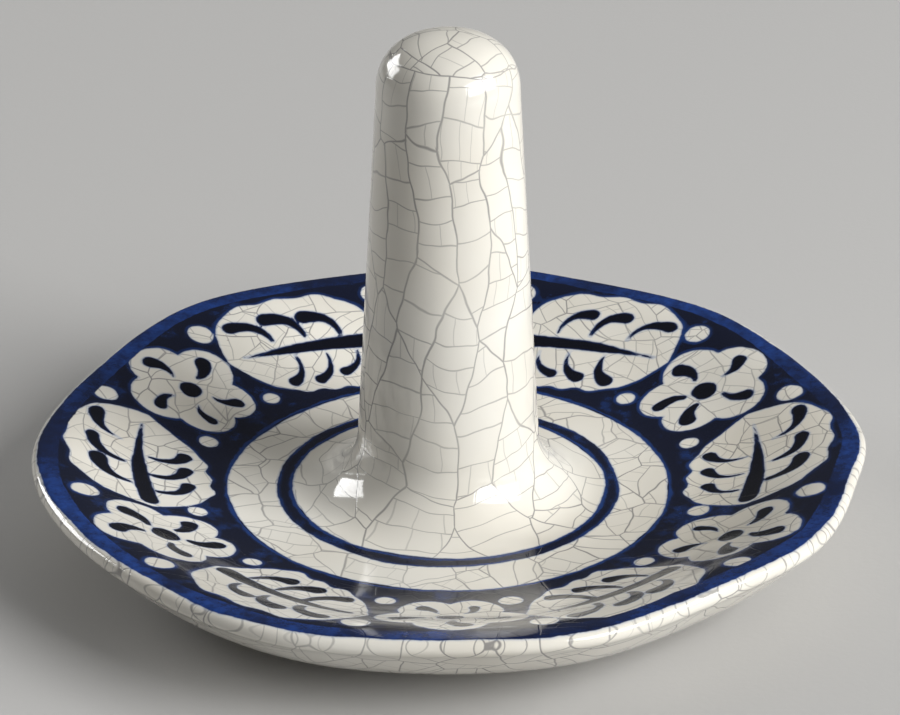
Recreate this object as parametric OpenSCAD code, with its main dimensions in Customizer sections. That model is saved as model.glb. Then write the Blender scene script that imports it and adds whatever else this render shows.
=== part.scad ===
// Ring dish: a shallow crackle-glazed dish with a hollow upright post for finger rings.
// The clay parts are shaped apart and luted together before firing.
// Millimetres. The origin is on the table, under the middle of the post, and +Z is up.

/* [Dish] */
// Diameter across the lip, taken half way between the corners and the flats
dish_d = 103.2; // [96:0.2:112]
// Depth of the well below the crown of the lip
well_depth = 7; // [6:0.1:9]
// Thickness of the clay under the well
floor_t = 4.2; // [3.4:0.1:5]
// Diameter of the flat middle of the well
well_d = 46; // [42:0.5:50]
// Radius of the rounded lip
lip_r = 1.15; // [0.9:0.05:1.5]
// Slope of the painted band just inside the lip, in degrees
lip_tilt = 5; // [2:0.5:8]
// How far the flat of the well eases out into the wall
well_ease = 15; // [11:0.5:17]
// How far the flat of the lip eases down into the wall
lip_ease = 8; // [6:0.5:10]
// Turn of the lip's underside before it runs into the outer wall, in degrees
lip_under_turn = 50; // [40:1:60]
// How far the lip's underside runs on before the outer wall curves
outer_ease = 3.5; // [2:0.25:4.5]
// How far the flat of the underside eases out into the outer wall
under_ease = 12; // [9:0.5:13]
// Rise of the underside over that stretch
under_rise = 0.3; // [0:0.1:1]

/* [Soft corners of the rim] */
// Direction of each hand-pressed corner, in degrees from +X
corner_at = [0, 47, 84, 130, 186, 249, 288, 330];
// How far each corner stands past the mean rim
corner_out = [0.9, 1, 1.6, 1.7, 0.5, 1, 0.3, 0.1];
// How far the flat after each corner falls inside the mean rim
flat_in = [0.4, -0.1, -0.2, 1.1, 0.3, 0, 1.3, 0.3];
// How fast the corners fade towards the middle of the dish
corner_fade = 1.5; // [1.2:0.1:2]

/* [Foot ring] */
// Outer diameter of the foot ring
foot_d = 66; // [60:0.5:66]
// Width of the foot ring
foot_w = 4.5; // [3.5:0.1:6]
// Height of the foot ring
foot_h = 2.2; // [1.6:0.1:3]
// Radius of the foot ring's two bottom edges
foot_round = 0.8; // [0.4:0.1:1.2]

/* [Ring post] */
// Height of the post above the floor of the well
post_h = 60.2; // [50:0.5:75]
// Diameter that the post's sides would have where they reach the floor
post_base_d = 23.6; // [21:0.2:26]
// Diameter of the post where its crown starts
post_top_d = 17.4; // [15:0.2:19]
// Height of the rounded crown
crown_h = 7.4; // [5:0.1:9]
// Squareness of the crown, where 2 is an ellipse
crown_power = 2.35; // [2:0.05:3]
// Diameter of the hollow that is bored up the post so that it fires evenly
hollow_d = 9; // [7:0.5:10]
// Thickness of the clay over the end of the hollow
crown_t = 8; // [6:0.5:14]
// Depth of the scored seat that the post stands in
seat_depth = 0.6; // [0.4:0.1:1]
// Gap for slip all round the post in its seat
seat_gap = 0.1; // [0.05:0.05:0.2]

/* [Luting coil] */
// Radius of the hollow curve from the post to the floor
coil_r = 8; // [6:0.5:9]
// Angle at which the coil's thin edges meet the post and the floor
coil_edge = 5; // [4:0.5:8]
// Diameter of the vent pierced through the floor under the post
vent_d = 6; // [5:0.5:7]

/* [Smoothness] */
// Facets round the dish
dish_facets = 96; // [72:8:112]
// Steps along the inside of the wall
wall_steps = 10; // [8:1:12]
// Steps round the lip
lip_steps = 7; // [6:1:8]
// Steps along the outer wall
outer_steps = 7; // [6:1:9]
// Steps round the crown, and along the coil and each foot edge
curve_steps = 14; // [10:1:20]

/* [Hidden] */
glaze = [0.88, 0.865, 0.82];
slip = [0.86, 0.845, 0.80];
clay = [0.80, 0.77, 0.69];
$fn = 96;
cut = 1;

mean_r = dish_d / 2;
well_r = well_d / 2;
under_z = foot_h;
floor_z = under_z + floor_t;
rim_z = floor_z + well_depth;
foot_r = foot_d / 2;
foot_flare = 0.5;
under_r = foot_r + foot_flare;
corners = len(corner_at);

post_base_r = post_base_d / 2;
post_top_r = post_top_d / 2;
shoulder_h = post_h - crown_h;
taper = atan((post_base_r - post_top_r) / shoulder_h);
seat_z = floor_z - seat_depth;
hollow_r = hollow_d / 2;
hollow_top = floor_z + post_h - crown_t - hollow_r;

function along(a, b, t) = a + (b - a) * t;
function bezier(p, t) =
  pow(1 - t, 3) * p[0] + 3 * t * pow(1 - t, 2) * p[1]
  + 3 * t * t * (1 - t) * p[2] + pow(t, 3) * p[3];
function polar(r, a) = [r * cos(a), r * sin(a)];

// A flat is nearly straight and a corner is soft: 0 in the middle of the flat, 1 at the corner.
function soft(t) = t * t * (2 - t * t);

// How far the rim stands past its mean radius in one direction.
function corner_after(i) = i + 1 < corners ? corner_at[i + 1] : corner_at[0] + 360;
function rim_side(a, i) =
  let (t = 2 * (a - corner_at[i]) / (corner_after(i) - corner_at[i]) - 1)
  along(-flat_in[i], corner_out[t < 0 ? i : (i + 1) % corners], soft(t));
function rim_wave(a) =
  let (b = a < corner_at[0] ? a + 360 : a)
  [for (i = [0:corners - 1]) if (b >= corner_at[i] && b < corner_after(i)) rim_side(b, i)][0];

// The wall takes up the corners gradually from a round start to the lip.
function fade(r, start) = r <= start ? 0 : pow((r - start) / (mean_r - start), corner_fade);

// Inside of the dish, from the flat of the well up to the crown of the lip.
lip_centre = [mean_r - lip_r, rim_z - lip_r];
lip_start = lip_centre + polar(lip_r, 90 + lip_tilt);
inner_curve = [
  [well_r, floor_z],
  [well_r + well_ease, floor_z],
  lip_start - polar(lip_ease, lip_tilt),
  lip_start
];
inner = [for (i = [0:wall_steps]) bezier(inner_curve, i / wall_steps)];

// Round the lip, and down the outer wall to the flat underside.
lip_end_a = -lip_under_turn;
lip = [for (i = [1:lip_steps])
  lip_centre + polar(lip_r, along(90 + lip_tilt, lip_end_a, i / lip_steps))];
lip_end = lip[lip_steps - 1];
outer_curve = [
  lip_end,
  lip_end + polar(outer_ease, lip_end_a - 90),
  [under_r + under_ease, under_z + under_rise],
  [under_r, under_z]
];
outer = [for (i = [1:outer_steps]) bezier(outer_curve, i / outer_steps)];

// Each ring of the dish is one point of its profile, carried round and pressed to the corners.
function ring(p, start) = [for (k = [0:dish_facets - 1])
  let (a = 360 * k / dish_facets, r = p[0] + rim_wave(a) * fade(p[0], start))
  [r * cos(a), r * sin(a), p[1]]];
function rings(profile, start) = [for (p = profile) each ring(p, start)];

module loft(points, count) {
  n = dish_facets;
  sides = [for (j = [0:count - 2]) for (k = [0:n - 1])
    let (a = j * n + k, b = j * n + (k + 1) % n)
    each [[a, a + n, b + n], [a, b + n, b]]];
  top = [for (k = [0:n - 1]) n - 1 - k];
  bottom = [for (k = [0:n - 1]) (count - 1) * n + k];
  polyhedron(points, concat([top, bottom], sides), convexity = 4);
}

// Pressed dish with its scored seat for the post and the vent under it.
module dish() {
  color(glaze)
  difference() {
    loft(concat(rings(concat(inner, lip), well_r), rings(outer, under_r)),
      len(inner) + len(lip) + len(outer));
    translate([0, 0, seat_z])
    cylinder(h = seat_depth + cut, r = post_base_r + seat_gap);
    translate([0, 0, under_z - cut])
    cylinder(h = floor_t + cut, d = vent_d);
  }
}

// Turned foot ring with a flat rest face and rounded bottom edges.
module foot_ring() {
  in_r = foot_r - foot_w;
  outer_edge = [for (i = [0:curve_steps])
    [foot_r - foot_round, foot_round] + polar(foot_round, along(-90, 0, i / curve_steps))];
  inner_edge = [for (i = [0:curve_steps])
    [in_r + foot_round, foot_round] + polar(foot_round, along(180, 270, i / curve_steps))];
  color(clay)
  rotate_extrude()
  polygon(concat(outer_edge, [[foot_r, foot_h], [in_r, foot_h]], inner_edge));
}

// Tapered hollow post with a squarish rounded crown.
module ring_post() {
  crown = [for (i = [0:curve_steps - 1])
    let (a = 90 * i / curve_steps)
    [post_top_r * pow(cos(a), 2 / crown_power),
      floor_z + shoulder_h + crown_h * pow(sin(a), 2 / crown_power)]];
  color(glaze)
  difference() {
    rotate_extrude()
    polygon(concat([[0, seat_z], [post_base_r, seat_z], [post_base_r, floor_z]], crown,
      [[0, floor_z + post_h]]));
    translate([0, 0, seat_z - cut])
    cylinder(h = hollow_top - seat_z + cut, r = hollow_r);
    translate([0, 0, hollow_top])
    sphere(r = hollow_r);
  }
}

// Coil of clay pressed into the joint, smoothed to a hollow curve.
module luting_coil() {
  rise = coil_r * cos(coil_edge);
  centre = [post_base_r - tan(taper) * rise + rise / cos(taper), floor_z + rise];
  first_a = 180 + taper + coil_edge;
  last_a = 270 - coil_edge;
  sweep = [for (i = [0:curve_steps])
    centre + polar(coil_r, along(first_a, last_a, i / curve_steps))];
  color(slip)
  rotate_extrude()
  polygon(concat([[post_base_r, floor_z]], sweep));
}

dish();
foot_ring();
ring_post();
luting_coil();
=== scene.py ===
"""Dresses the ring dish: fired clay pieces, painted border, crackle glaze and a plain studio.

Sizes are in millimetres until a mesh is made, and repeat the names of the part's own source.
"""

import logging
import math
from dataclasses import dataclass, field
from enum import Enum
from typing import Any

import bpy
import numpy as np
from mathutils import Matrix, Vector

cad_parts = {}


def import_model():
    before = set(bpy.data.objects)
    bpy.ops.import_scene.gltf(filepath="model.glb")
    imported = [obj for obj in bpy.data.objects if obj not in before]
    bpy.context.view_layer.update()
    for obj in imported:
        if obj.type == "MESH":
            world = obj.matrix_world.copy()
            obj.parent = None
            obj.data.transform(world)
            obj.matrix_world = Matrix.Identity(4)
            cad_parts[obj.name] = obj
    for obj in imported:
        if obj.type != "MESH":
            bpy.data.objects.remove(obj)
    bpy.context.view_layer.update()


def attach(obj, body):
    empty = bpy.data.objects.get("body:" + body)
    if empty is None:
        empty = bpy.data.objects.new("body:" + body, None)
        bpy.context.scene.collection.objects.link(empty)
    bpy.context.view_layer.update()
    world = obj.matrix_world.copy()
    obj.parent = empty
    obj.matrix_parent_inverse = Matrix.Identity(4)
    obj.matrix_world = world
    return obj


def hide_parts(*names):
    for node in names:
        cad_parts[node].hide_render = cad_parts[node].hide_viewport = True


LOG = logging.getLogger("ring_dish")
MM = 0.001
BODY = "root"
MERGE_MM = 0.001
# A distance beyond every painted edge, and what marks the weights of points on the upper side.
FAR_MM = 99.0
UPPER_MARK = 10.0
SEED = 7

Profile = list[tuple[float, float]]


class Slot(Enum):
    """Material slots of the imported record."""

    DISH = "dish_glaze"
    POST = "post_glaze"
    CLAY = "bare_clay"


class SeenIn(Enum):
    """Where a softbox shows: in the body colours or in the gloss."""

    BODY = "body"
    GLOSS = "gloss"


def linear(hex_colour: str) -> tuple[float, float, float, float]:
    """Turns an sRGB hex colour to linear light.

    Args:
        hex_colour: Six hex digits after a hash sign.

    Returns:
        Red, green, blue and alpha, in linear light.
    """
    values = [int(hex_colour[i:i + 2], 16) / 255 for i in (1, 3, 5)]
    red, green, blue = (v / 12.92 if v <= 0.04045 else ((v + 0.055) / 1.055) ** 2.4 for v in values)
    return red, green, blue, 1.0


def add(tree: bpy.types.NodeTree, kind: str, inputs: dict[Any, Any] | None = None,
        prefix: str = "ShaderNode", **settings: Any) -> Any:
    """Adds a node with its settings, values and links.

    Args:
        tree: The node tree that gets the node.
        kind: The node's type name, without its prefix.
        inputs: A value or another node's output for each input, by name or place.
        prefix: What the type name starts with.
        settings: The node's own options.

    Returns:
        The new node.
    """
    node = tree.nodes.new(prefix + kind)
    for key, value in settings.items():
        setattr(node, key, value)
    for key, value in (inputs or {}).items():
        if isinstance(value, bpy.types.NodeSocket):
            tree.links.new(value, node.inputs[key])
        else:
            node.inputs[key].default_value = value
    return node


def new_material(name: str) -> tuple[bpy.types.Material, bpy.types.NodeTree]:
    """Makes a material and clears its tree."""
    material = bpy.data.materials.new(name)
    material.use_nodes = True
    material.node_tree.nodes.clear()
    return material, material.node_tree


def polar(radius: float, degrees: float) -> np.ndarray:
    """Gives the point at a radius and an angle in degrees."""
    turn = math.radians(degrees)
    return np.array([radius * math.cos(turn), radius * math.sin(turn)])


def arc(centre: np.ndarray, radius: float, first: float, last: float, steps: int) -> Profile:
    """Lays points along an arc.

    Args:
        centre: The arc's centre.
        radius: Its radius.
        first: Angle of the first point, in degrees.
        last: Angle of the last point, in degrees.
        steps: How many steps lie between them.

    Returns:
        The arc's points, both ends included.
    """
    return [tuple(centre + polar(radius, first + (last - first) * i / steps)) for i in range(steps + 1)]


def bezier(points: list[np.ndarray], steps: int) -> Profile:
    """Lays points at even distances along a cubic curve.

    Args:
        points: The curve's two ends with its two handles between them.
        steps: How many steps lie between the ends.

    Returns:
        The curve's points, both ends included.
    """
    t = np.linspace(0, 1, 400)[:, None]
    a, b, c, d = points
    curve = (1 - t) ** 3 * a + 3 * t * (1 - t) ** 2 * b + 3 * t * t * (1 - t) * c + t ** 3 * d
    length = np.concatenate([[0], np.cumsum(np.hypot(*np.diff(curve, axis=0).T))])
    even = np.linspace(0, length[-1], steps + 1)
    return list(zip(np.interp(even, length, curve[:, 0]), np.interp(even, length, curve[:, 1])))


def line(start: tuple[float, float], end: tuple[float, float], steps: int) -> Profile:
    """Lays points along a straight line, both ends included."""
    return [(start[0] + (end[0] - start[0]) * i / steps, start[1] + (end[1] - start[1]) * i / steps)
            for i in range(steps + 1)]


def read_points(mesh: bpy.types.Mesh) -> np.ndarray:
    """Reads a mesh's points, in millimetres."""
    flat = np.zeros(len(mesh.vertices) * 3)
    mesh.vertices.foreach_get("co", flat)
    return flat.reshape(-1, 3) / MM


def turned(name: str, section: Profile, steps: int, is_closed: bool, weights: list[float] | None = None,
           sharp_degrees: float = 40) -> bpy.types.Object:
    """Spins a half section round the post's axis, as on a wheel.

    Args:
        name: The piece's name.
        section: Radius and height of the section's points, in millimetres.
        steps: How many facets go round.
        is_closed: Whether the section's last point joins its first.
        weights: How strongly each point follows the rim's corners, kept as an attribute.
        sharp_degrees: Edges that turn more than this stay sharp.

    Returns:
        The piece, at the origin.
    """
    mesh = bpy.data.meshes.new(name)
    count = len(section)
    edges = [(i, (i + 1) % count) for i in range(count if is_closed else count - 1)]
    mesh.from_pydata([(r * MM, 0, z * MM) for r, z in section], edges, [])
    if weights is not None:
        mesh.attributes.new("press", "FLOAT", "POINT").data.foreach_set("value", weights)
    piece = bpy.data.objects.new(name, mesh)
    bpy.context.scene.collection.objects.link(piece)
    bpy.ops.object.select_all(action="DESELECT")
    piece.select_set(True)
    bpy.context.view_layer.objects.active = piece
    bpy.ops.object.mode_set(mode="EDIT")
    bpy.ops.mesh.select_all(action="SELECT")
    bpy.ops.mesh.spin(steps=steps, dupli=False, angle=2 * math.pi, center=(0, 0, 0), axis=(0, 0, 1))
    bpy.ops.mesh.select_all(action="SELECT")
    bpy.ops.mesh.remove_doubles(threshold=MERGE_MM * MM)
    bpy.ops.mesh.normals_make_consistent(inside=False)
    bpy.ops.object.mode_set(mode="OBJECT")
    bpy.ops.object.shade_smooth_by_angle(angle=math.radians(sharp_degrees))
    return piece


def stage_piece(piece: bpy.types.Object, node: str, material: bpy.types.Material) -> None:
    """Puts a finished piece in the place of its CAD node.

    Args:
        piece: The finished piece.
        node: The node that it stands for.
        material: Its finish.
    """
    piece.data.materials.clear()
    piece.data.materials.append(material)
    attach(piece, BODY)
    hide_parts(node)
    LOG.info("%s: %d points, finish %s", piece.name, len(piece.data.vertices), material.name)


@dataclass(frozen=True)
class Crackle:
    """The net of fine cracks that the whole glaze shares, stained grey with age.

    The cracks are worked out in three generations. The first run long, and each later one lies
    inside a cell of the one before and stops at its cracks, as real ones do.
    """

    # Spacing of the three generations on the dish, and on the post, where cells are long.
    cell_mm: float = 6.1
    link_mm: float = 3.3
    fine_mm: float = 2.8
    shaft_cell_mm: float = 5.8
    shaft_stretch: float = 0.38
    shaft_link_mm: float = 3.9
    shaft_fine_mm: float = 2.9
    shaft_lean: float = 0.3
    uncut_share: float = 0.45
    # Width and darkness of each generation, and the size and reach of the bends in them all.
    width_mm: tuple[float, float, float] = (0.2, 0.16, 0.13)
    strength: tuple[float, float, float] = (1.0, 0.85, 0.5)
    wander: tuple[tuple[float, float], ...] = ((15.0, 5.5), (6.0, 1.8), (2.4, 0.5))
    patch_mm: float = 14.0
    # Where the post's long cells give way: under the inner painted ring, and round the crown.
    shaft_r_mm: float = 11.0
    ring_r_mm: float = 20.7
    crown_z_mm: float = 63.6
    crown_tilt: float = 0.16
    crown_slope: float = 1.5
    wall_slope: float = 0.8
    floor_z_mm: float = 6.4
    top_z_mm: float = 66.6

    def group(self) -> bpy.types.NodeTree:
        """Builds the node group once.

        Returns:
            The group, whose outputs are the cracks' darkness and a tone for each cell.
        """
        name = "crackle_net"
        if name in bpy.data.node_groups:
            return bpy.data.node_groups[name]
        tree = bpy.data.node_groups.new(name, "ShaderNodeTree")
        tree.interface.new_socket("Cracks", in_out="OUTPUT", socket_type="NodeSocketFloat")
        tree.interface.new_socket("Tone", in_out="OUTPUT", socket_type="NodeSocketFloat")
        point = self.wandering_point(tree)
        x, y, z = (add(tree, "SeparateXYZ", {0: point}).outputs[i] for i in range(3))
        plan = add(tree, "CombineXYZ", {0: x, 1: y}).outputs[0]
        radius = add(tree, "VectorMath", {0: plan}, operation="LENGTH").outputs["Value"]
        tilt = add(tree, "Math", {0: x, 1: self.crown_tilt, 2: z}, operation="MULTIPLY_ADD").outputs[0]
        crown = add(tree, "Math", {0: tilt, 1: self.crown_z_mm}, operation="SUBTRACT").outputs[0]
        is_crown = add(tree, "Math", {0: crown, 1: 0.0}, operation="GREATER_THAN").outputs[0]
        flat, flat_tone = self.flat_cracks(tree, plan, z, radius, is_crown)
        shaft, shaft_tone = self.shaft_cracks(tree, x, y, z, radius)
        crown_gap = add(tree, "Math", {0: crown}, operation="ABSOLUTE").outputs[0]
        crown_gap = add(tree, "Math", {0: crown_gap, 1: self.crown_slope}, operation="MULTIPLY").outputs[0]
        crown_line = self.crack(tree, crown_gap, 0)
        is_wide = add(tree, "Math", {0: radius, 1: self.ring_r_mm}, operation="GREATER_THAN").outputs[0]
        is_flat = add(tree, "Math", {0: is_wide, 1: is_crown}, operation="MAXIMUM").outputs[0]
        cracks = add(tree, "Mix", {"Factor": is_flat, "A": shaft, "B": flat}).outputs["Result"]
        cracks = add(tree, "Math", {0: cracks, 1: crown_line}, operation="MAXIMUM").outputs[0]
        tone = add(tree, "Mix", {"Factor": is_flat, "A": shaft_tone, "B": flat_tone}).outputs["Result"]
        place = add(tree, "TexCoord").outputs["Object"]
        patch = add(tree, "TexNoise", {"Vector": place, "Scale": 1 / (self.patch_mm * MM), "Detail": 1.0})
        ageing = add(tree, "MapRange", {"Value": patch.outputs["Fac"], "From Min": 0.3, "From Max": 0.65,
                                        "To Min": 0.6, "To Max": 1.0}).outputs[0]
        cracks = add(tree, "Math", {0: cracks, 1: ageing}, operation="MULTIPLY").outputs[0]
        add(tree, "Output", {"Cracks": cracks, "Tone": tone}, prefix="NodeGroup")
        return tree

    def wandering_point(self, tree: bpy.types.NodeTree) -> Any:
        """Gives the surface point in millimetres, pushed about so that cracks curve."""
        place = add(tree, "TexCoord").outputs["Object"]
        point = add(tree, "VectorMath", {0: place, "Scale": 1 / MM}, operation="SCALE").outputs[0]
        for size, reach in self.wander:
            noise = add(tree, "TexNoise", {"Vector": place, "Scale": 1 / (size * MM), "Detail": 0.5})
            push = add(tree, "VectorMath", {0: noise.outputs["Color"], 1: (0.5, 0.5, 0.5)},
                       operation="SUBTRACT").outputs[0]
            push = add(tree, "VectorMath", {0: push, "Scale": reach}, operation="SCALE").outputs[0]
            point = add(tree, "VectorMath", {0: point, 1: push}, operation="ADD").outputs[0]
        return point

    def crack(self, tree: bpy.types.NodeTree, distance_mm: Any, generation: int) -> Any:
        """Draws a crack of its generation's width and darkness where the distance is small."""
        half = self.width_mm[generation] / 2
        return add(tree, "MapRange", {"Value": distance_mm, "From Min": half * 0.3, "From Max": half * 1.8,
                                      "To Min": self.strength[generation], "To Max": 0.0},
                   interpolation_type="SMOOTHSTEP").outputs[0]

    def generation(self, tree: bpy.types.NodeTree, along: Any, spacing: float,
                   level: int) -> tuple[Any, Any]:
        """Splits cells by cracks at uneven steps along a coordinate.

        Args:
            tree: The tree that gets the nodes.
            along: The coordinate, in units of the spacing.
            spacing: The mean distance between cracks, in millimetres.
            level: The generation, from 0.

        Returns:
            The cracks' darkness, and random colour of each new cell.
        """
        edge = add(tree, "TexVoronoi", {"W": along, "Scale": 1.0}, voronoi_dimensions="1D",
                   feature="DISTANCE_TO_EDGE").outputs["Distance"]
        cell = add(tree, "TexVoronoi", {"W": along, "Scale": 1.0}, voronoi_dimensions="1D").outputs["Color"]
        gap = add(tree, "Math", {0: edge, 1: spacing}, operation="MULTIPLY").outputs[0]
        return self.crack(tree, gap, level), cell

    def cells(self, tree: bpy.types.NodeTree, u: Any, v: Any, size: float, stretch: float,
              metric: Any) -> tuple[Any, Any]:
        """Cuts a surface into the cells of the first generation.

        Args:
            tree: The tree that gets the nodes.
            u: The coordinate across the cells, in millimetres.
            v: The coordinate along them, in millimetres.
            size: How far apart the cells lie across.
            stretch: How many times shorter than long they are.
            metric: How much a millimetre on the surface counts in each coordinate of the cells.

        Returns:
            The distance to the nearest crack, in millimetres, and a random colour of each cell.
        """
        squeezed = add(tree, "Math", {0: v, 1: stretch}, operation="MULTIPLY").outputs[0]
        point = add(tree, "CombineXYZ", {0: u, 1: squeezed}).outputs[0]
        edge, own, other = (add(tree, "TexVoronoi", {"Vector": point, "Scale": 1 / size},
                                voronoi_dimensions="2D", feature=feature).outputs
                            for feature in ("DISTANCE_TO_EDGE", "F1", "F2"))
        across = add(tree, "VectorMath", {0: other["Position"], 1: own["Position"]},
                     operation="SUBTRACT").outputs[0]
        across = add(tree, "VectorMath", {0: across}, operation="NORMALIZE").outputs[0]
        across = add(tree, "VectorMath", {0: across, 1: metric}, operation="MULTIPLY").outputs[0]
        shrink = add(tree, "VectorMath", {0: across}, operation="LENGTH").outputs["Value"]
        gap = add(tree, "Math", {0: edge["Distance"], 1: size}, operation="MULTIPLY").outputs[0]
        return add(tree, "Math", {0: gap, 1: shrink}, operation="DIVIDE").outputs[0], own["Color"]

    def flat_cracks(self, tree: bpy.types.NodeTree, plan: Any, z: Any, radius: Any,
                    is_crown: Any) -> tuple[Any, Any]:
        """Draws the cracks of the dish and of the crown's top, laid out flat from the middle."""
        rise = self.wall_slope * (self.top_z_mm - self.floor_z_mm)
        climb = add(tree, "MapRange", {"Value": z, "From Min": self.floor_z_mm, "From Max": self.top_z_mm,
                                       "To Min": 0.0, "To Max": rise}, clamp=False).outputs[0]
        drop = add(tree, "Math", {0: rise, 1: climb}, operation="SUBTRACT").outputs[0]
        lift = add(tree, "Mix", {"Factor": is_crown, "A": climb, "B": drop}).outputs["Result"]
        grown = add(tree, "Math", {0: lift, 1: radius}, operation="DIVIDE").outputs[0]
        grown = add(tree, "Math", {0: grown, 1: 1.0}, operation="ADD").outputs[0]
        laid = add(tree, "VectorMath", {0: plan, "Scale": grown}, operation="SCALE").outputs[0]
        x, y = (add(tree, "SeparateXYZ", {0: laid}).outputs[i] for i in range(2))
        gap, colour = self.cells(tree, x, y, self.cell_mm, 1.0, (1.0, 1.0, 1.0))
        chance = add(tree, "SeparateColor", {0: colour}).outputs
        turn = add(tree, "VectorRotate", {"Vector": laid, "Axis": (0, 0, 1), "Angle": add(
            tree, "Math", {0: chance[0], 1: 2 * math.pi}, operation="MULTIPLY").outputs[0]}).outputs[0]
        turned_plan = add(tree, "SeparateXYZ", {0: turn}).outputs
        return self.later_cracks(tree, self.crack(tree, gap, 0), chance[1], turned_plan[0], turned_plan[1],
                                 (self.link_mm, self.fine_mm), chance[2])

    def shaft_cracks(self, tree: bpy.types.NodeTree, x: Any, y: Any, z: Any,
                     radius: Any) -> tuple[Any, Any]:
        """Draws the cracks of the post: long ones that run down it, with short links across."""
        away = add(tree, "Math", {0: y, 1: -1.0}, operation="MULTIPLY").outputs[0]
        turn = add(tree, "Math", {0: x, 1: away}, operation="ARCTAN2").outputs[0]
        round_mm = add(tree, "Math", {0: turn, 1: self.shaft_r_mm}, operation="MULTIPLY").outputs[0]
        down_mm = add(tree, "Math", {0: radius, 1: z}, operation="SUBTRACT").outputs[0]
        spread = add(tree, "Math", {0: self.shaft_r_mm, 1: radius}, operation="DIVIDE").outputs[0]
        metric = add(tree, "CombineXYZ", {0: spread, 1: self.shaft_stretch, 2: 1.0}).outputs[0]
        gap, colour = self.cells(tree, round_mm, down_mm, self.shaft_cell_mm, self.shaft_stretch, metric)
        behind = add(tree, "Math", {0: turn}, operation="ABSOLUTE").outputs[0]
        behind = add(tree, "Math", {0: math.pi, 1: behind}, operation="SUBTRACT").outputs[0]
        behind = add(tree, "Math", {0: behind, 1: self.shaft_r_mm}, operation="MULTIPLY").outputs[0]
        gap = add(tree, "Math", {0: gap, 1: behind}, operation="MINIMUM").outputs[0]
        chance = add(tree, "SeparateColor", {0: colour}).outputs
        lean = add(tree, "MapRange", {"Value": chance[0], "To Min": -self.shaft_lean,
                                      "To Max": self.shaft_lean}).outputs[0]
        across = add(tree, "Math", {0: round_mm, 1: lean, 2: down_mm}, operation="MULTIPLY_ADD").outputs[0]
        return self.later_cracks(tree, self.crack(tree, gap, 0), chance[1], across, round_mm,
                                 (self.shaft_link_mm, self.shaft_fine_mm), chance[2])

    def later_cracks(self, tree: bpy.types.NodeTree, first: Any, chance: Any, across: Any, along: Any,
                     spacing: tuple[float, float], tone: Any) -> tuple[Any, Any]:
        """Adds the second and third generation inside the cells of the first.

        Args:
            tree: The tree that gets the nodes.
            first: Darkness of the first generation.
            chance: A random value for each of its cells.
            across: Coordinate that the second generation cuts, in millimetres.
            along: Coordinate that the third generation cuts, in millimetres.
            spacing: Mean distances of the two generations, in millimetres.
            tone: Random tone of each first cell.

        Returns:
            The darkness of all the cracks, and the tone of each cell.
        """
        far_step = 53.0
        step = add(tree, "Math", {0: across, 1: spacing[0]}, operation="DIVIDE").outputs[0]
        step = add(tree, "Math", {0: chance, 1: far_step, 2: step}, operation="MULTIPLY_ADD").outputs[0]
        second, cell = self.generation(tree, step, spacing[0], 1)
        seed = add(tree, "SeparateColor", {0: cell}).outputs
        step = add(tree, "Math", {0: along, 1: spacing[1]}, operation="DIVIDE").outputs[0]
        step = add(tree, "Math", {0: seed[0], 1: far_step, 2: step}, operation="MULTIPLY_ADD").outputs[0]
        third = self.generation(tree, step, spacing[1], 2)[0]
        is_cut = add(tree, "Math", {0: seed[1], 1: self.uncut_share}, operation="GREATER_THAN").outputs[0]
        third = add(tree, "Math", {0: third, 1: is_cut}, operation="MULTIPLY").outputs[0]
        both = add(tree, "Math", {0: first, 1: second}, operation="MAXIMUM").outputs[0]
        return add(tree, "Math", {0: both, 1: third}, operation="MAXIMUM").outputs[0], tone


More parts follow.
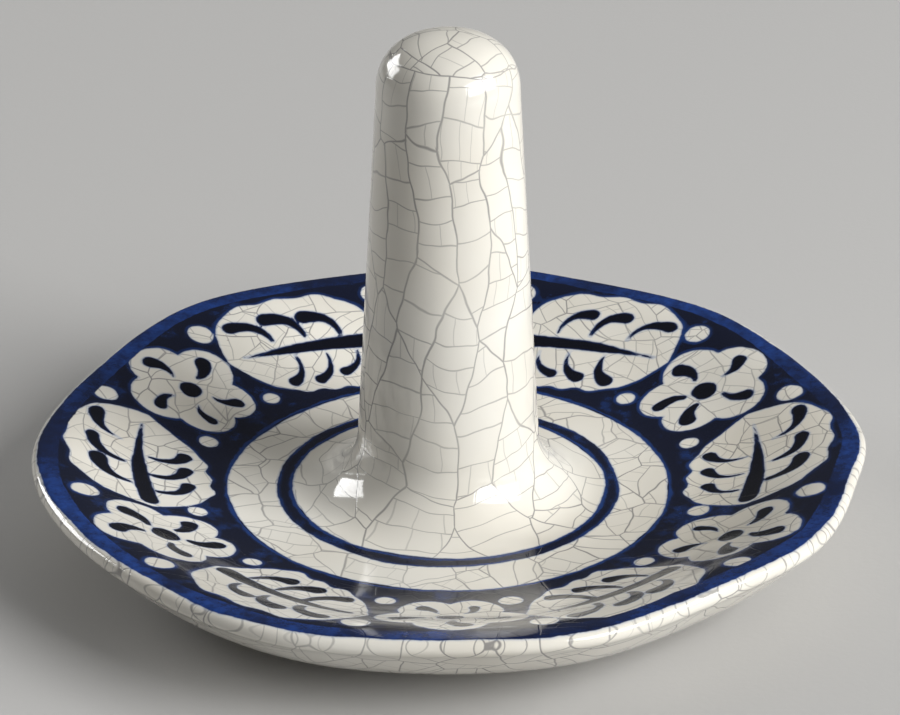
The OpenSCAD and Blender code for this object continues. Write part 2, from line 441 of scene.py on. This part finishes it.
@dataclass(frozen=True)
class IvoryGlaze:
    """Glossy tin-white glaze over pale clay, fired and crazed.

    It gives a creamy body colour, sharp window reflections on a hand-made wavy skin, and fine
    grey cracks.
    """

    name: str = "ivory_crackle_glaze"
    body: str = "#e3e0d7"
    pooled: str = "#d9d4c8"
    crack: str = "#605f63"
    speck: str = "#7d6a52"
    cloud_mm: float = 22.0
    speck_gap_mm: float = 7.0
    stain: float = 0.72
    roughness: float = 0.09
    ior: float = 1.5
    # Size, height and share of the skin's waves, and depth and share of the dents at the cracks.
    wave_mm: float = 9.0
    wave_height_mm: float = 0.6
    wave_share: float = 0.22
    dent_mm: float = 0.05
    dent_share: float = 0.25
    crackle: Crackle = field(default_factory=Crackle)

    def build(self) -> bpy.types.Material:
        """Builds the glaze without any painting."""
        material, tree = new_material(self.name)
        colour, cracks = self.body_colour(tree)
        self.finish(tree, colour, cracks)
        return material

    def body_colour(self, tree: bpy.types.NodeTree) -> tuple[Any, Any]:
        """Mixes the glaze's own colour with its cracks.

        Returns:
            The colour, and the darkness of the cracks.
        """
        place = add(tree, "TexCoord").outputs["Object"]
        net = add(tree, "Group", node_tree=self.crackle.group())
        cloud = add(tree, "TexNoise", {"Vector": place, "Scale": 1 / (self.cloud_mm * MM), "Detail": 3.0})
        amount = add(tree, "MapRange", {"Value": cloud.outputs["Fac"], "From Min": 0.38,
                                        "From Max": 0.72}).outputs[0]
        colour = add(tree, "Mix", {"Factor": amount, "A": linear(self.body), "B": linear(self.pooled)},
                     data_type="RGBA")
        tone = add(tree, "MapRange", {"Value": net.outputs["Tone"], "To Min": 0.965,
                                      "To Max": 1.02}).outputs[0]
        toned = add(tree, "VectorMath", {0: self.picked(colour), "Scale": tone}, operation="SCALE")
        dots = add(tree, "TexVoronoi", {"Vector": place, "Scale": 1 / (self.speck_gap_mm * MM)})
        is_speck = add(tree, "MapRange",
                       {"Value": dots.outputs["Distance"], "From Min": 0.012, "From Max": 0.03,
                        "To Min": 0.75, "To Max": 0.0}).outputs[0]
        specked = add(tree, "Mix", {"Factor": is_speck, "A": toned.outputs[0],
                                    "B": linear(self.speck)}, data_type="RGBA")
        shown = add(tree, "Math", {0: net.outputs["Cracks"], 1: self.stain},
                    operation="MULTIPLY").outputs[0]
        cracked = add(tree, "Mix", {"Factor": shown, "A": self.picked(specked),
                                    "B": linear(self.crack)}, data_type="RGBA")
        return self.picked(cracked), net.outputs["Cracks"]

    @staticmethod
    def picked(mix: Any) -> Any:
        """Gives the colour output of a colour mix."""
        return next(o for o in mix.outputs if o.enabled)

    def finish(self, tree: bpy.types.NodeTree, colour: Any, cracks: Any) -> None:
        """Joins a colour to the glassy surface.

        Args:
            tree: The material's tree.
            colour: The colour under the glaze.
            cracks: The darkness of the cracks, which also dent the skin.
        """
        place = add(tree, "TexCoord").outputs["Object"]
        wave = add(tree, "TexNoise", {"Vector": place, "Scale": 1 / (self.wave_mm * MM), "Detail": 1.5})
        skin = add(tree, "Bump", {"Height": wave.outputs["Fac"], "Strength": self.wave_share,
                                  "Distance": self.wave_height_mm * MM})
        depth = add(tree, "Math", {0: cracks, 1: -1.0}, operation="MULTIPLY").outputs[0]
        dent = add(tree, "Bump",
                   {"Height": depth, "Strength": self.dent_share, "Distance": self.dent_mm * MM,
                    "Normal": skin.outputs[0]})
        shader = add(tree, "BsdfPrincipled", {
            "Base Color": colour, "Roughness": self.roughness, "IOR": self.ior, "Normal": dent.outputs[0]})
        add(tree, "OutputMaterial", {"Surface": shader.outputs[0]})


@dataclass(frozen=True)
class PaintedGlaze(IvoryGlaze):
    """The same glaze over brushed cobalt.

    It gives near-black strokes and ground, blue where the paint ran thin at an edge, and a
    brighter, mottled rim.
    """

    name: str = "painted_crackle_glaze"
    navy: str = "#12172a"
    cobalt: str = "#1d3a74"
    ink: str = "#0c0e18"
    rim: str = "#203f82"
    rim_dark: str = "#172a58"
    bleed: str = "#6f8fbe"
    edge_mm: float = 0.09
    bleed_mm: float = 0.32
    # Size, detail and reach of the hand's wander, of the brush's hairs and of the pooled wash.
    hand: tuple[float, float, float] = (11.0, 1.0, 0.55)
    brush: tuple[float, float, float] = (1.4, 3.0, 0.17)
    pooling: tuple[float, float, float] = (2.2, 3.0, 0.6)
    blotch_mm: float = 4.5
    patch_mm: float = 7.0
    mottle_mm: float = 1.6
    thick_mm: float = 19.0

    def build(self) -> bpy.types.Material:
        """Builds the glaze with its painting, which follows four attributes of the dish."""
        material, tree = new_material(self.name)
        place = add(tree, "TexCoord").outputs["Object"]
        colour, cracks = self.body_colour(tree)
        hand = self.unevenness(tree, *self.hand)
        brush = self.unevenness(tree, *self.brush)
        ragged = add(tree, "Math", {0: hand, 1: brush}, operation="ADD").outputs[0]
        ground = self.edge(tree, "ground_mm", ragged)
        stroke = self.edge(tree, "stroke_mm", ragged)
        rim = self.edge(tree, "rim_mm", ragged)
        nearest = add(tree, "Math", {0: ground, 1: stroke}, operation="MINIMUM").outputs[0]
        halo = add(tree, "MapRange", {"Value": nearest, "From Min": 0.0, "From Max": self.bleed_mm,
                                      "To Min": 0.4, "To Max": 0.0},
                   interpolation_type="SMOOTHSTEP").outputs[0]
        colour = self.layer(tree, colour, linear(self.bleed), halo)
        blotch = add(tree, "TexNoise", {"Vector": place, "Scale": 1 / (self.blotch_mm * MM), "Detail": 4.0,
                                        "Roughness": 0.62})
        wash = add(tree, "MapRange", {"Value": blotch.outputs["Fac"], "From Min": 0.56,
                                      "From Max": 0.8}).outputs[0]
        patchy = add(tree, "TexNoise", {"Vector": place, "Scale": 1 / (self.patch_mm * MM), "Detail": 2.0})
        patchy = add(tree, "MapRange", {"Value": patchy.outputs["Fac"], "From Min": 0.4,
                                        "From Max": 0.6, "To Min": 0.15}).outputs[0]
        fringe = add(tree, "MapRange", {"Value": ground, "From Min": -0.6, "From Max": -0.15,
                                        "To Min": 0.0, "To Max": 0.85}).outputs[0]
        fringe = add(tree, "Math", {0: fringe, 1: patchy}, operation="MULTIPLY").outputs[0]
        wash = add(tree, "Math", {0: wash, 1: fringe}, operation="MAXIMUM").outputs[0]
        pool = add(tree, "Attribute", attribute_name="pool_mm").outputs["Fac"]
        pool = add(tree, "Math", {0: pool, 1: self.unevenness(tree, *self.pooling)},
                   operation="ADD").outputs[0]
        pool = add(tree, "MapRange", {"Value": pool, "From Min": 0.25, "From Max": 0.8, "To Min": 0.85,
                                      "To Max": 0.0}, interpolation_type="SMOOTHSTEP").outputs[0]
        wash = add(tree, "Math", {0: wash, 1: pool}, operation="MAXIMUM").outputs[0]
        navy = self.layer(tree, linear(self.navy), linear(self.cobalt), wash)
        colour = self.layer(tree, colour, navy, self.cover(tree, ground))
        ink_fringe = add(tree, "MapRange", {"Value": stroke, "From Min": -0.3, "From Max": 0.0,
                                            "To Min": 0.0, "To Max": 0.45}).outputs[0]
        ink = self.layer(tree, linear(self.ink), linear(self.cobalt), ink_fringe)
        colour = self.layer(tree, colour, ink, self.cover(tree, stroke))
        mottle = add(tree, "TexNoise", {"Vector": place, "Scale": 1 / (self.mottle_mm * MM), "Detail": 4.0,
                                        "Roughness": 0.7})
        mottle = add(tree, "MapRange", {"Value": mottle.outputs["Fac"], "From Min": 0.38,
                                        "From Max": 0.62}).outputs[0]
        band = self.layer(tree, linear(self.rim_dark), linear(self.rim), mottle)
        thick = add(tree, "TexNoise", {"Vector": place, "Scale": 1 / (self.thick_mm * MM), "Detail": 2.0})
        thick = add(tree, "MapRange", {"Value": thick.outputs["Fac"], "From Min": 0.47, "From Max": 0.6,
                                       "To Min": 0.0, "To Max": 0.8}).outputs[0]
        band = self.layer(tree, band, linear(self.navy), thick)
        colour = self.layer(tree, colour, band, self.cover(tree, rim))
        self.finish(tree, colour, cracks)
        return material

    def unevenness(self, tree: bpy.types.NodeTree, size_mm: float, detail: float, reach_mm: float) -> Any:
        """Gives a wandering distance, to both sides of zero, for a line drawn by hand."""
        place = add(tree, "TexCoord").outputs["Object"]
        noise = add(tree, "TexNoise", {"Vector": place, "Scale": 1 / (size_mm * MM), "Detail": detail})
        return add(tree, "MapRange", {"Value": noise.outputs["Fac"], "To Min": -reach_mm,
                                      "To Max": reach_mm}).outputs[0]

    def edge(self, tree: bpy.types.NodeTree, attribute: str, ragged: Any) -> Any:
        """Reads a distance to a painted edge and makes the edge ragged, as a loaded brush does."""
        distance = add(tree, "Attribute", attribute_name=attribute).outputs["Fac"]
        return add(tree, "Math", {0: distance, 1: ragged}, operation="ADD").outputs[0]

    def cover(self, tree: bpy.types.NodeTree, distance: Any) -> Any:
        """Gives how much paint covers the glaze: all inside the edge, none outside."""
        return add(tree, "MapRange", {"Value": distance, "From Min": -self.edge_mm,
                                      "From Max": self.edge_mm, "To Min": 1.0, "To Max": 0.0},
                   interpolation_type="SMOOTHSTEP").outputs[0]

    def layer(self, tree: bpy.types.NodeTree, under: Any, over: Any, amount: Any) -> Any:
        """Lays one colour over another by an amount."""
        return self.picked(add(tree, "Mix", {"Factor": amount, "A": under, "B": over},
                               data_type="RGBA"))


@dataclass(frozen=True)
class BareClay:
    """Fired stoneware clay of the foot, wiped clean of glaze: matt, sandy and pale buff."""

    name: str = "bare_fired_clay"
    pale: str = "#c9bda4"
    sandy: str = "#a99a7e"
    grain_mm: float = 0.35
    roughness: float = 0.85

    def build(self) -> bpy.types.Material:
        """Builds the clay."""
        material, tree = new_material(self.name)
        place = add(tree, "TexCoord").outputs["Object"]
        grain = add(tree, "TexNoise", {"Vector": place, "Scale": 1 / (self.grain_mm * MM), "Detail": 4.0})
        colour = add(tree, "Mix", {"Factor": grain.outputs["Fac"], "A": linear(self.pale),
                                   "B": linear(self.sandy)}, data_type="RGBA")
        dent = add(tree, "Bump", {"Height": grain.outputs["Fac"], "Strength": 0.5, "Distance": 0.1 * MM})
        shader = add(tree, "BsdfPrincipled", {
            "Base Color": IvoryGlaze.picked(colour), "Roughness": self.roughness, "Normal": dent.outputs[0]})
        add(tree, "OutputMaterial", {"Surface": shader.outputs[0]})
        return material


@dataclass
class BrushStroke:
    """One loaded brush stroke: a curved line with a width at its start, middle and end."""

    path: list[tuple[float, float]]
    widths: tuple[float, float, float]

    def distance(self, u: np.ndarray, v: np.ndarray) -> np.ndarray:
        """Measures how far points lie outside the stroke, in millimetres, less than 0 inside."""
        t = np.linspace(0, 1, 13)
        a, b, c = (np.array(p) for p in self.path)
        spine = (1 - t)[:, None] ** 2 * a + 2 * (t * (1 - t))[:, None] * b + (t ** 2)[:, None] * c
        half = np.interp(t, [0, 0.5, 1], self.widths) / 2
        nearest = np.full(u.shape, FAR_MM)
        for start, end, w0, w1 in zip(spine, spine[1:], half, half[1:]):
            step = end - start
            along = np.clip(((u - start[0]) * step[0] + (v - start[1]) * step[1]) / (step @ step), 0, 1)
            gap = np.hypot(u - start[0] - along * step[0], v - start[1] - along * step[1])
            nearest = np.minimum(nearest, gap - (w0 + (w1 - w0) * along))
        return nearest


@dataclass
class LeafPanel:
    """A long pale leaf left bare in the navy ground, with a painted midrib and veins."""

    half_length: float = 11.5
    half_width: float = 8.9
    bend: float = 1.2
    veins: int = 3
    midrib_widths: tuple[float, float, float] = (2.4, 1.8, 0.5)
    vein_widths: tuple[float, float, float] = (0.5, 1.2, 2.1)
    vein_gap: float = 1.7
    vein_reach: float = 3.4

    def outline(self, u: np.ndarray, v: np.ndarray) -> np.ndarray:
        """Gives less than 0 inside the leaf."""
        s = np.clip(u / self.half_length, -1.4, 1.4)
        centre = self.bend * np.sin(s * math.pi / 2)
        width = self.half_width * (1 - np.abs(s) ** 4.2) * (1 + 0.03 * np.cos(s * 5 * math.pi))
        return np.abs(v - centre) - width

    def strokes(self, dice: np.random.Generator) -> list[BrushStroke]:
        """Paints the midrib and comma strokes beside it, no two leaves quite alike."""
        reach = self.half_length
        marks = [BrushStroke([(-0.84 * reach, -self.bend), (0, -0.5), (0.78 * reach, self.bend * 0.9)],
                             self.midrib_widths)]
        for i in range(self.veins):
            for side in (-1, 1):
                root = (-0.54 + 0.4 * i + 0.06 * side) * reach + dice.uniform(-0.3, 0.3)
                low = self.bend * math.sin(root / reach * math.pi / 2) + side * self.vein_gap
                tall = self.half_width * (1 - abs(root / reach) ** 4) * dice.uniform(0.44, 0.5)
                tip = (root + self.vein_reach + dice.uniform(-0.4, 0.4), low + side * tall)
                bulge = (root + 0.1, low + side * tall * 0.85)
                marks.append(BrushStroke([(root, low), bulge, tip], self.vein_widths))
        return marks


@dataclass
class BlossomPanel:
    """A five-petalled blossom left bare in the navy ground, with a painted heart and dashes."""

    petal_r: float = 3.95
    petal_out: float = 4.85
    petals: int = 5
    heart_widths: tuple[float, float, float] = (2.8, 3.0, 2.8)
    dash_widths: tuple[float, float, float] = (0.5, 1.3, 2.0)

    def outline(self, u: np.ndarray, v: np.ndarray) -> np.ndarray:
        """Gives less than 0 inside the blossom."""
        shape = np.hypot(u, v) - self.petal_out
        for i in range(self.petals):
            x, y = polar(self.petal_out, 90 + 360 * i / self.petals)
            shape = np.minimum(shape, np.hypot(u - x, v - y) - self.petal_r)
        return shape

    def strokes(self, dice: np.random.Generator) -> list[BrushStroke]:
        """Paints the heart and a dash on each petal."""
        marks = [BrushStroke([(-0.3, 0), (0, 0.2), (0.3, 0)], self.heart_widths)]
        for i in range(self.petals):
            turn = 90 + 360 * i / self.petals + dice.uniform(-7, 7)
            marks.append(BrushStroke([tuple(polar(2.9, turn)), tuple(polar(4.6, turn + 10)),
                                      tuple(polar(6.2, turn - 4))], self.dash_widths))
        return marks


@dataclass
class Border:
    """The painted border of the wall: leaves and blossoms by turns on a navy ground."""

    pairs: int = 6
    middle_r: float = 39.3
    inner_ring: tuple[float, float] = (19.65, 21.75)
    middle_ring: tuple[float, float] = (27.7, 29.7)
    bud_turn: float = 1.7
    buds: tuple[tuple[float, float], ...] = ((32.4, 1.25), (46.3, 1.7))
    band: tuple[float, float] = (0.85, 3.1)
    panel_reach: float = 20.0

    def paint(self, mesh: bpy.types.Mesh, is_inside: np.ndarray, rim_gap: np.ndarray) -> None:
        """Stores each point's distances to the painted edges, in millimetres.

        Args:
            mesh: The dish's mesh.
            is_inside: Which points lie on the upper side of the dish.
            rim_gap: How far each point lies inside the rim.
        """
        points = read_points(mesh)
        radius = np.hypot(points[:, 0], points[:, 1])
        turn = np.degrees(np.arctan2(points[:, 1], points[:, 0]))
        dice = np.random.default_rng(SEED)
        clear = np.full(radius.shape, FAR_MM)
        stroke = np.full(radius.shape, FAR_MM)
        step = 360 / self.pairs
        for i in range(self.pairs):
            for panel, place in ((LeafPanel(), i * step), (BlossomPanel(), (i + 0.5) * step)):
                flip = -1 if i % 2 and isinstance(panel, LeafPanel) else 1
                u, v = self.local(turn, radius, place + dice.uniform(-0.6, 0.6))
                near = (np.abs(u) < self.panel_reach) & is_inside
                u, v = u[near] * flip, v[near]
                clear[near] = np.minimum(clear[near], self.levelled(panel, u, v))
                for mark in panel.strokes(dice):
                    stroke[near] = np.minimum(stroke[near], mark.distance(u, v))
        for i in range(2 * self.pairs):
            lean = self.bud_turn if i % 2 == 0 else -self.bud_turn
            for row, bud_r in self.buds:
                u, v = self.local(turn, radius, (i + 0.5) * step / 2 + dice.uniform(-0.4, 0.4) + lean)
                clear = np.minimum(clear,
                                   np.hypot(u * row / self.middle_r, v + self.middle_r - row) - bud_r)
        ring_out = radius - self.middle_ring[1]
        painted = np.where(ring_out < 0, np.minimum(ring_out, -clear), -clear)
        ground = np.maximum(self.middle_ring[0] - radius, painted)
        inner_middle = sum(self.inner_ring) / 2
        inner = np.abs(radius - inner_middle) - (self.inner_ring[1] - inner_middle)
        ground = np.minimum(ground, inner)
        ground = np.maximum(ground, self.band[0] - rim_gap)
        pool = np.where(radius > self.middle_ring[0], radius - self.middle_ring[0],
                        radius - self.inner_ring[0])
        pool = np.where(pool < 0, FAR_MM, pool)
        rim_middle = sum(self.band) / 2
        rim = np.abs(rim_gap - rim_middle) - (self.band[1] - rim_middle)
        for name, values in (("ground_mm", ground), ("stroke_mm", stroke), ("rim_mm", rim),
                             ("pool_mm", pool)):
            shown = np.where(is_inside, values, FAR_MM).astype(np.float32)
            mesh.attributes.new(name, "FLOAT", "POINT").data.foreach_set("value", shown)

    def local(self, turn: np.ndarray, radius: np.ndarray, place: float) -> tuple[np.ndarray, np.ndarray]:
        """Gives points as distances along and across the border, from one place on it."""
        away = (turn - place + 180) % 360 - 180
        return np.radians(away) * self.middle_r, radius - self.middle_r

    @staticmethod
    def levelled(panel: LeafPanel | BlossomPanel, u: np.ndarray, v: np.ndarray) -> np.ndarray:
        """Turns a panel's outline to a distance in millimetres, by its slope."""
        nudge = 0.05
        least_slope = 0.6
        here = panel.outline(u, v)
        slope = np.hypot(panel.outline(u + nudge, v) - here, panel.outline(u, v + nudge) - here) / nudge
        return here / np.maximum(slope, least_slope)


@dataclass
class Dish:
    """The pressed dish: flat well, soft eight-cornered wall, rounded lip and flat underside."""

    mean_r: float = 51.6
    well_depth: float = 7.0
    floor_z: float = 6.4
    under_z: float = 2.2
    under_r: float = 33.5
    well_r: float = 23.0
    lip_r: float = 1.15
    lip_tilt: float = 5.0
    well_ease: float = 15.0
    lip_ease: float = 8.0
    lip_under_turn: float = 50.0
    outer_ease: float = 3.5
    under_ease: float = 12.0
    under_rise: float = 0.3
    corner_at: tuple[float, ...] = (0, 47, 84, 130, 186, 249, 288, 330)
    corner_out: tuple[float, ...] = (0.9, 1, 1.6, 1.7, 0.5, 1, 0.3, 0.1)
    flat_in: tuple[float, ...] = (0.4, -0.1, -0.2, 1.1, 0.3, 0, 1.3, 0.3)
    corner_fade: float = 1.5
    seat_r: float = 11.9
    seat_z: float = 5.8
    vent_r: float = 3.0
    facets: int = 640

    def fade(self, radius: float, start: float) -> float:
        """Gives how strongly a point follows the rim's corners, from its radius."""
        return 0.0 if radius <= start else ((radius - start) / (self.mean_r - start)) ** self.corner_fade

    def rim_wave(self, turn: np.ndarray) -> np.ndarray:
        """Gives how far the rim stands past its mean radius, in each direction in degrees."""
        wave = np.zeros(turn.shape)
        count = len(self.corner_at)
        for i in range(count):
            after = (i + 1) % count
            start = self.corner_at[i]
            end = self.corner_at[after] + (360 if after == 0 else 0)
            side = (turn >= start) & (turn < end)
            t = 2 * (turn[side] - start) / (end - start) - 1
            out = np.where(t < 0, self.corner_out[i], self.corner_out[after])
            wave[side] = -self.flat_in[i] + (out + self.flat_in[i]) * t * t * (2 - t * t)
        return wave

    def section(self) -> tuple[Profile, list[float], int]:
        """Lays out the half section.

        Returns:
            Its points, how strongly each follows the corners, and how many lie on the upper side.
        """
        rim_z = self.floor_z + self.well_depth
        centre = np.array([self.mean_r - self.lip_r, rim_z - self.lip_r])
        lip = arc(centre, self.lip_r, 90 + self.lip_tilt, -self.lip_under_turn, 16)
        lip_start, lip_end = np.array(lip[0]), np.array(lip[-1])
        inner = bezier([np.array([self.well_r, self.floor_z]),
                        np.array([self.well_r + self.well_ease, self.floor_z]),
                        lip_start - polar(self.lip_ease, self.lip_tilt), lip_start], 76)
        outer = bezier([lip_end, lip_end + polar(self.outer_ease, -self.lip_under_turn - 90),
                        np.array([self.under_r + self.under_ease, self.under_z + self.under_rise]),
                        np.array([self.under_r, self.under_z])], 22)
        well = line((self.seat_r, self.floor_z), (self.well_r, self.floor_z), 24)
        upper = well + inner[1:] + lip[1:]
        under = outer[1:] + line((self.under_r, self.under_z), (self.vent_r, self.under_z), 4)[1:]
        seat = [(self.vent_r, self.seat_z), (self.seat_r, self.seat_z)]
        weights = [self.fade(r, self.well_r) for r, _ in upper]
        weights += [self.fade(r, self.under_r) for r, _ in under]
        return upper + under + seat, weights + [0.0, 0.0], len(upper)

    def build(self) -> bpy.types.Object:
        """Turns the dish, presses its rim to the corners and marks out its painting."""
        section, weights, upper = self.section()
        sides = [1.0] * upper + [0.0] * (len(section) - upper)
        piece = turned("pressed_dish", section, self.facets, True,
                       [w + UPPER_MARK * s for w, s in zip(weights, sides)])
        mesh = piece.data
        marks = np.zeros(len(mesh.vertices))
        mesh.attributes["press"].data.foreach_get("value", marks)
        is_inside = marks > UPPER_MARK / 2
        press = marks - UPPER_MARK * is_inside
        points = read_points(mesh)
        turn = np.degrees(np.arctan2(points[:, 1], points[:, 0])) % 360
        radius = np.hypot(points[:, 0], points[:, 1])
        wave = self.rim_wave(turn)
        grown = (radius + wave * press) / radius
        points[:, :2] *= grown[:, None]
        mesh.vertices.foreach_set("co", (points * MM).ravel())
        mesh.attributes.remove(mesh.attributes["press"])
        mesh.update()
        rim_gap = self.mean_r + wave - radius * grown
        past_lip = is_inside & (points[:, 2] < self.floor_z + self.well_depth - self.lip_r) & (rim_gap < 1)
        Border().paint(mesh, is_inside & ~past_lip, rim_gap)
        return piece


@dataclass
class RingPost:
    """The hollow tapered post with its squarish crown."""

    base_r: float = 11.8
    top_r: float = 8.7
    height: float = 60.2
    crown_h: float = 7.4
    crown_power: float = 2.35
    floor_z: float = 6.4
    seat_z: float = 5.8
    hollow_r: float = 4.5
    crown_t: float = 8.0
    crown_steps: int = 48
    facets: int = 256

    def build(self) -> bpy.types.Object:
        """Turns the post with the hollow up its middle."""
        shoulder = self.floor_z + self.height - self.crown_h
        crown = [(self.top_r * math.cos(a) ** (2 / self.crown_power),
                  shoulder + self.crown_h * math.sin(a) ** (2 / self.crown_power))
                 for a in (math.pi / 2 * i / self.crown_steps for i in range(self.crown_steps))]
        hollow_z = self.floor_z + self.height - self.crown_t - self.hollow_r
        dome = arc(np.array([0.0, hollow_z]), self.hollow_r, 0, 90, 10)
        top = self.floor_z + self.height
        side = line((self.top_r, shoulder), (self.base_r, self.floor_z), 60)
        section = ([(0.0, top)] + crown[::-1] + side[1:]
                   + [(self.base_r, self.seat_z), (self.hollow_r, self.seat_z)] + dome)
        return turned("hollow_ring_post", section, self.facets, False)


@dataclass
class LutingCoil:
    """The coil of clay smoothed into the joint of post and floor."""

    base_r: float = 11.8
    taper: float = 3.36
    coil_r: float = 8.0
    edge: float = 0.6
    floor_z: float = 6.4
    facets: int = 256

    def build(self) -> bpy.types.Object:
        """Turns the coil's hollow curve, feathered out on the post and on the floor."""
        rise = self.coil_r * math.cos(math.radians(self.edge))
        lean = math.radians(self.taper)
        centre = np.array([self.base_r - math.tan(lean) * rise + rise / math.cos(lean),
                           self.floor_z + rise])
        sweep = arc(centre, self.coil_r, 180 + self.taper + self.edge, 270 - self.edge, 40)
        return turned("smoothed_luting_coil", [(self.base_r, self.floor_z)] + sweep, self.facets, True)


@dataclass
class FootRing:
    """The turned ring that the dish stands on."""

    outer_r: float = 33.0
    width: float = 4.5
    height: float = 2.2
    rounding: float = 0.8
    facets: int = 256

    def build(self) -> bpy.types.Object:
        """Turns the foot ring with its two rounded bottom edges."""
        inner_r = self.outer_r - self.width
        outer_edge = arc(np.array([self.outer_r - self.rounding, self.rounding]), self.rounding, -90, 0, 8)
        inner_edge = arc(np.array([inner_r + self.rounding, self.rounding]), self.rounding, 180, 270, 8)
        section = outer_edge + [(self.outer_r, self.height), (inner_r, self.height)] + inner_edge
        return turned("turned_foot_ring", section, self.facets, True)


@dataclass(frozen=True)
class Softbox:
    """A softbox as the dish sees it: its direction, its half sizes in degrees and its level."""

    name: str
    azimuth: float
    height: float
    half_wide: float
    half_tall: float
    level: float
    seen_in: SeenIn
    distance_m: float = 1.3

    def hang(self) -> None:
        """Hangs the softbox so that it looks at the dish."""
        light = bpy.data.lights.new(self.name, "AREA")
        light.shape = "RECTANGLE"
        light.size = 2 * self.distance_m * math.tan(math.radians(self.half_wide))
        light.size_y = 2 * self.distance_m * math.tan(math.radians(self.half_tall))
        light.energy = self.level * math.pi * light.size * light.size_y
        lamp = bpy.data.objects.new(self.name, light)
        flat = polar(self.distance_m * math.cos(math.radians(self.height)), self.azimuth)
        lamp.location = (flat[0], flat[1], self.distance_m * math.sin(math.radians(self.height)))
        lamp.rotation_euler = Vector(lamp.location).to_track_quat("Z", "Y").to_euler()
        lamp.visible_diffuse = self.seen_in is SeenIn.BODY
        lamp.visible_glossy = self.seen_in is SeenIn.GLOSS
        bpy.context.scene.collection.objects.link(lamp)


@dataclass
class Studio:
    """A pale table top, window-like softboxes and the camera."""

    floor_half_m: float = 3.0
    floor_colour: str = "#bab9b7"
    world_level: float = 0.08
    camera_mm: tuple[float, float, float] = (0.22, -356.7, 194.3)
    camera_down: float = 64.48
    lens_mm: float = 127.2
    softboxes: tuple[Softbox, ...] = (
        Softbox("window_light", -27, 29, 18, 19, 11.2, SeenIn.BODY),
        Softbox("window_pane", -31, 25, 25, 12, 12.0, SeenIn.GLOSS, 1.2),
        Softbox("far_window_light", 147, 21, 15, 10, 5.0, SeenIn.BODY),
        Softbox("far_window_pane", 147, 21, 15, 10, 10.0, SeenIn.GLOSS, 1.2),
        Softbox("open_room", 80, 45, 30, 25, 0.7, SeenIn.BODY),
    )

    def build(self) -> None:
        """Sets the floor, the lights, the world and the camera."""
        bpy.ops.object.select_all(action="DESELECT")
        bpy.ops.mesh.primitive_plane_add(size=2 * self.floor_half_m)
        floor = bpy.context.active_object
        floor.name = "table_top"
        floor.data.materials.append(self.paper())
        for softbox in self.softboxes:
            softbox.hang()
        world = bpy.data.worlds.new("pale_room")
        world.use_nodes = True
        world.node_tree.nodes["Background"].inputs["Color"].default_value = (1, 1, 1, 1)
        world.node_tree.nodes["Background"].inputs["Strength"].default_value = self.world_level
        bpy.context.scene.world = world
        camera = bpy.data.cameras.new("camera")
        camera.lens = self.lens_mm
        camera.sensor_width = 36
        camera.sensor_fit = "HORIZONTAL"
        camera.clip_start = 0.01
        holder = bpy.data.objects.new("camera", camera)
        holder.location = [v * MM for v in self.camera_mm]
        holder.rotation_euler = (math.radians(self.camera_down), 0, 0)
        bpy.context.scene.collection.objects.link(holder)
        bpy.context.scene.camera = holder

    def paper(self) -> bpy.types.Material:
        """Builds the table top: matt card with a faint tooth."""
        material, tree = new_material("matt_card")
        place = add(tree, "TexCoord").outputs["Object"]
        tooth = add(tree, "TexNoise", {"Vector": place, "Scale": 1 / (0.9 * MM), "Detail": 3.0})
        dent = add(tree, "Bump", {"Height": tooth.outputs["Fac"], "Strength": 0.25, "Distance": 0.1 * MM})
        shader = add(tree, "BsdfPrincipled", {
            "Base Color": linear(self.floor_colour), "Roughness": 0.9, "Normal": dent.outputs[0]})
        add(tree, "OutputMaterial", {"Surface": shader.outputs[0]})
        return material


def main() -> None:
    """Builds every piece in order and reports it."""
    logging.basicConfig(level=logging.INFO, format="%(name)s: %(message)s")
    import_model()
    ivory = IvoryGlaze().build()
    painted = PaintedGlaze().build()
    clay = BareClay().build()
    stage_piece(Dish().build(), "dish", painted)
    stage_piece(FootRing().build(), "foot_ring", clay)
    stage_piece(RingPost().build(), "ring_post", ivory)
    stage_piece(LutingCoil().build(), "luting_coil", ivory)
    Studio().build()
    bpy.context.scene.view_settings.view_transform = "Standard"


if __name__ == "__main__":
    main()
